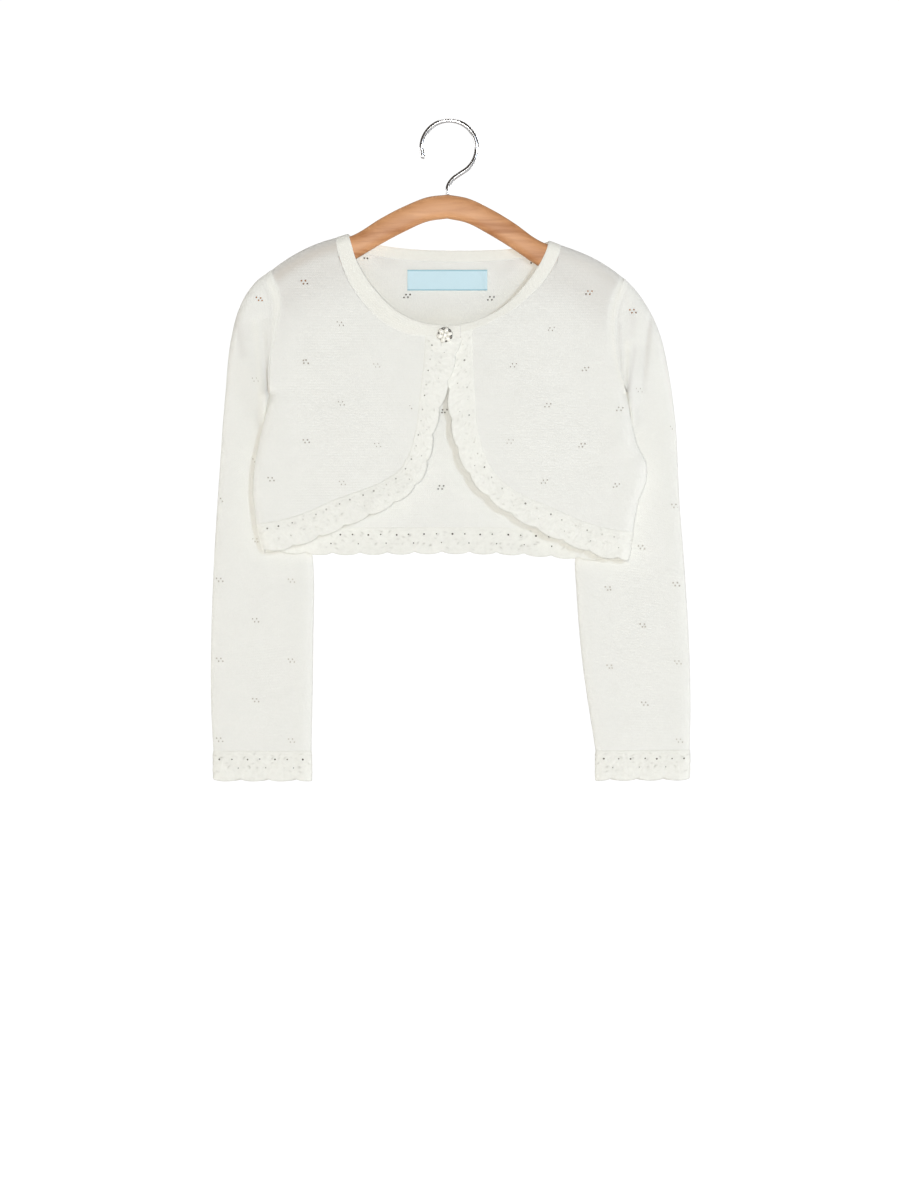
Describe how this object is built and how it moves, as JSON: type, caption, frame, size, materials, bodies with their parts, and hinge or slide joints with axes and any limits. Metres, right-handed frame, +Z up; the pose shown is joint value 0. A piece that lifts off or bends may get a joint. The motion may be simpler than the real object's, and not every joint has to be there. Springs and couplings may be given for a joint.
{
  "type": "knitted shrug on a hanger",
  "caption": "Child's long-sleeved knitted shrug with cutaway fronts, crochet shell edging and a flower button at the neck, hanging on a wooden hanger.",
  "frame": {"origin": "the inside of the top of the hanger's hook, where it bears on a rail", "axes": "+X towards the wearer's left, +Y towards the back, +Z up; the front faces -Y"},
  "size_m": [0.3609, 0.0314, 0.4978],
  "materials": {
    "knit": "fine-gauge cotton stocking stitch, matt with a soft nap",
    "crochet": "crocheted cotton yarn, matt",
    "button": "pearly petals in a dark antique metal setting",
    "label": "woven satin ribbon, bare",
    "wood": "satin varnish",
    "wire": "bright plated wire"
  },
  "bodies": {
    "root": {"back": "knit", "front_right": "knit", "front_left": "knit", "sleeve_right": "knit", "sleeve_left": "knit", "neck_band": "knit", "trim_front_right": "crochet", "trim_front_left": "crochet", "trim_back": "crochet", "trim_cuff_right": "crochet", "trim_cuff_left": "crochet", "button": "button", "label": "label", "hanger_bar": "wood", "hanger_hook": "wire"}
  },
  "joints": []
}
